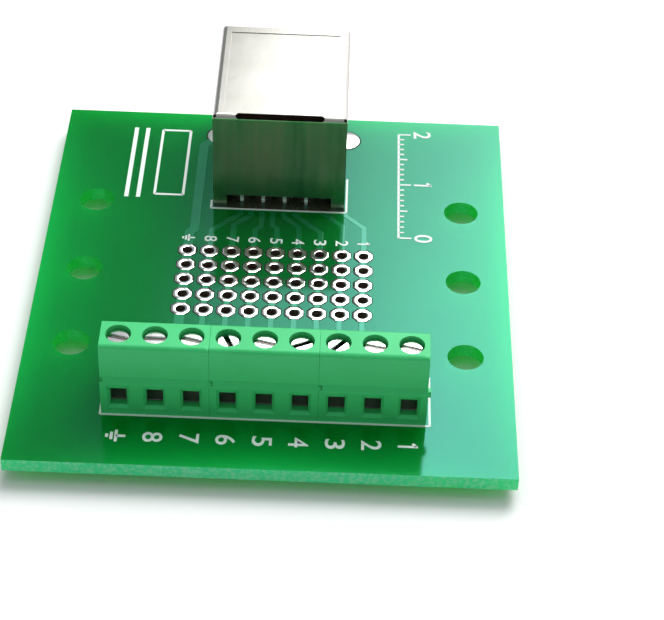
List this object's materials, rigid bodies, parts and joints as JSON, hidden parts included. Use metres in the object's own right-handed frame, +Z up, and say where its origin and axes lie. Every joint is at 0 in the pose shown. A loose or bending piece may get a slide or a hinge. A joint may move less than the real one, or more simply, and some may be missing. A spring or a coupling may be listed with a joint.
{
  "type": "ethernet breakout board",
  "caption": "Circuit board that brings a shielded modular network jack out to screw terminals and a grid of solder pads.",
  "frame": {"origin": "below the middle of the whole board, level with the tips of the soldered leads that it stands on", "axes": "+X along the row of terminals, +Y from the terminals to the jack's port, +Z up out of the board"},
  "size_m": [0.0534, 0.061, 0.0163],
  "materials": {
    "laminate": "green solder mask over glass laminate",
    "terminal_plastic": "moulded green",
    "jack_plastic": "moulded black",
    "shell_metal": "bright tinned sheet",
    "contact_wire": "gilded spring wire",
    "tinned_strip": "tinned",
    "screw_steel": "zinc plated",
    "cage_steel": "nickel plated",
    "solder": "bright solder"
  },
  "bodies": {
    "board": {"circuit_board": "laminate", "solder_joints": "solder", "terminal_block_1": "terminal_plastic", "terminal_block_2": "terminal_plastic", "terminal_block_3": "terminal_plastic", "contact_strip_1": "tinned_strip", "contact_strip_2": "tinned_strip", "contact_strip_3": "tinned_strip", "contact_strip_4": "tinned_strip", "contact_strip_5": "tinned_strip", "contact_strip_6": "tinned_strip", "contact_strip_7": "tinned_strip", "contact_strip_8": "tinned_strip", "contact_strip_9": "tinned_strip", "jack_shell": "shell_metal", "jack_housing": "jack_plastic", "contact_carrier": "jack_plastic", "jack_contact_1": "contact_wire", "jack_contact_2": "contact_wire", "jack_contact_3": "contact_wire", "jack_contact_4": "contact_wire", "jack_contact_5": "contact_wire", "jack_contact_6": "contact_wire", "jack_contact_7": "contact_wire", "jack_contact_8": "contact_wire"},
    "screw_1": {"clamp_screw_1": "screw_steel"},
    "cage_1": {"clamp_cage_1": "cage_steel"},
    "screw_2": {"clamp_screw_2": "screw_steel"},
    "cage_2": {"clamp_cage_2": "cage_steel"},
    "screw_3": {"clamp_screw_3": "screw_steel"},
    "cage_3": {"clamp_cage_3": "cage_steel"},
    "screw_4": {"clamp_screw_4": "screw_steel"},
    "cage_4": {"clamp_cage_4": "cage_steel"},
    "screw_5": {"clamp_screw_5": "screw_steel"},
    "cage_5": {"clamp_cage_5": "cage_steel"},
    "screw_6": {"clamp_screw_6": "screw_steel"},
    "cage_6": {"clamp_cage_6": "cage_steel"},
    "screw_7": {"clamp_screw_7": "screw_steel"},
    "cage_7": {"clamp_cage_7": "cage_steel"},
    "screw_8": {"clamp_screw_8": "screw_steel"},
    "cage_8": {"clamp_cage_8": "cage_steel"},
    "screw_9": {"clamp_screw_9": "screw_steel"},
    "cage_9": {"clamp_cage_9": "cage_steel"}
  },
  "joints": [
    {"name": "screw_1_turn", "type": "hinge", "parent": "board", "child": "screw_1", "pos_m": [-0.01524, -0.02051, 0.01175], "axis": [0, 0, -1], "range_deg": [0, 1440]},
    {"name": "cage_1_rise", "type": "slide", "parent": "board", "child": "cage_1", "axis": [0, 0, 1], "range_m": [0, 0.0016]},
    {"name": "screw_2_turn", "type": "hinge", "parent": "board", "child": "screw_2", "pos_m": [-0.01143, -0.02051, 0.01175], "axis": [0, 0, -1], "range_deg": [0, 1440]},
    {"name": "cage_2_rise", "type": "slide", "parent": "board", "child": "cage_2", "axis": [0, 0, 1], "range_m": [0, 0.0016]},
    {"name": "screw_3_turn", "type": "hinge", "parent": "board", "child": "screw_3", "pos_m": [-0.00762, -0.02051, 0.01175], "axis": [0, 0, -1], "range_deg": [0, 1440]},
    {"name": "cage_3_rise", "type": "slide", "parent": "board", "child": "cage_3", "axis": [0, 0, 1], "range_m": [0, 0.0016]},
    {"name": "screw_4_turn", "type": "hinge", "parent": "board", "child": "screw_4", "pos_m": [-0.00381, -0.02051, 0.01175], "axis": [0, 0, -1], "range_deg": [0, 1440]},
    {"name": "cage_4_rise", "type": "slide", "parent": "board", "child": "cage_4", "axis": [0, 0, 1], "range_m": [0, 0.0016]},
    {"name": "screw_5_turn", "type": "hinge", "parent": "board", "child": "screw_5", "pos_m": [0, -0.02051, 0.01175], "axis": [0, 0, -1], "range_deg": [0, 1440]},
    {"name": "cage_5_rise", "type": "slide", "parent": "board", "child": "cage_5", "axis": [0, 0, 1], "range_m": [0, 0.0016]},
    {"name": "screw_6_turn", "type": "hinge", "parent": "board", "child": "screw_6", "pos_m": [0.00381, -0.02051, 0.01175], "axis": [0, 0, -1], "range_deg": [0, 1440]},
    {"name": "cage_6_rise", "type": "slide", "parent": "board", "child": "cage_6", "axis": [0, 0, 1], "range_m": [0, 0.0016]},
    {"name": "screw_7_turn", "type": "hinge", "parent": "board", "child": "screw_7", "pos_m": [0.00762, -0.02051, 0.01175], "axis": [0, 0, -1], "range_deg": [0, 1440]},
    {"name": "cage_7_rise", "type": "slide", "parent": "board", "child": "cage_7", "axis": [0, 0, 1], "range_m": [0, 0.0016]},
    {"name": "screw_8_turn", "type": "hinge", "parent": "board", "child": "screw_8", "pos_m": [0.01143, -0.02051, 0.01175], "axis": [0, 0, -1], "range_deg": [0, 1440]},
    {"name": "cage_8_rise", "type": "slide", "parent": "board", "child": "cage_8", "axis": [0, 0, 1], "range_m": [0, 0.0016]},
    {"name": "screw_9_turn", "type": "hinge", "parent": "board", "child": "screw_9", "pos_m": [0.01524, -0.02051, 0.01175], "axis": [0, 0, -1], "range_deg": [0, 1440]},
    {"name": "cage_9_rise", "type": "slide", "parent": "board", "child": "cage_9", "axis": [0, 0, 1], "range_m": [0, 0.0016]}
  ],
  "couplings": [
    {"joint": "screw_1_turn", "follows": "cage_1_rise", "rad_per_m": 15707},
    {"joint": "screw_2_turn", "follows": "cage_2_rise", "rad_per_m": 15707},
    {"joint": "screw_3_turn", "follows": "cage_3_rise", "rad_per_m": 15707},
    {"joint": "screw_4_turn", "follows": "cage_4_rise", "rad_per_m": 15707},
    {"joint": "screw_5_turn", "follows": "cage_5_rise", "rad_per_m": 15707},
    {"joint": "screw_6_turn", "follows": "cage_6_rise", "rad_per_m": 15707},
    {"joint": "screw_7_turn", "follows": "cage_7_rise", "rad_per_m": 15707},
    {"joint": "screw_8_turn", "follows": "cage_8_rise", "rad_per_m": 15707},
    {"joint": "screw_9_turn", "follows": "cage_9_rise", "rad_per_m": 15707}
  ]
}
